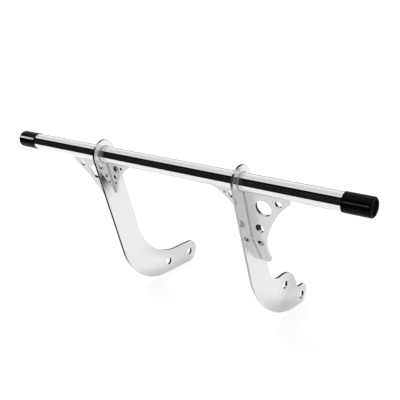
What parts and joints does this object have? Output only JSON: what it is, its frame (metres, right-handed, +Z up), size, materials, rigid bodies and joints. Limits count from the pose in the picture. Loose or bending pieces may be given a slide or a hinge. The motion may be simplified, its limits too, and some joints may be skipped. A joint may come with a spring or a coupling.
{
  "type": "motorcycle highway bar",
  "caption": "Straight chromed engine-guard tube with soft end caps, welded through flat bracket plates with drilled gussets that bolt to a motorcycle frame.",
  "frame": {"origin": "middle of the bar's axis, halfway between the two brackets", "axes": "+X along the bar to the right, +Y back towards the motorcycle's frame, +Z up"},
  "size_m": [0.7866, 0.317, 0.339],
  "materials": {
    "bar_chrome": "bright chrome plate on round tube",
    "bracket_chrome": "bright chrome plate on flat laser-cut plate",
    "gusset_chrome": "bright chrome plate, a little softer than the bar",
    "weld_chrome": "chromed fillet weld",
    "cap_rubber": "smooth black soft vinyl with a low sheen"
  },
  "bodies": {
    "bar": {"tube": "bar_chrome", "left_bracket": "bracket_chrome", "left_outer_gusset": "gusset_chrome", "left_inner_gusset": "gusset_chrome", "right_bracket": "bracket_chrome", "right_outer_gusset": "gusset_chrome", "right_inner_gusset": "gusset_chrome", "left_eye_outer_weld": "weld_chrome", "left_eye_inner_weld": "weld_chrome", "left_outer_gusset_tube_weld": "weld_chrome", "left_outer_gusset_arm_weld": "weld_chrome", "left_inner_gusset_tube_weld": "weld_chrome", "left_inner_gusset_arm_weld": "weld_chrome", "right_eye_outer_weld": "weld_chrome", "right_eye_inner_weld": "weld_chrome", "right_outer_gusset_tube_weld": "weld_chrome", "right_outer_gusset_arm_weld": "weld_chrome", "right_inner_gusset_tube_weld": "weld_chrome", "right_inner_gusset_arm_weld": "weld_chrome"},
    "left_cap": {"left_end_cap": "cap_rubber"},
    "right_cap": {"right_end_cap": "cap_rubber"}
  },
  "joints": [
    {"name": "left_cap_slide", "type": "slide", "parent": "bar", "child": "left_cap", "axis": [-1, 0, 0], "range_m": [0, 0.05]},
    {"name": "right_cap_slide", "type": "slide", "parent": "bar", "child": "right_cap", "axis": [1, 0, 0], "range_m": [0, 0.05]}
  ]
}
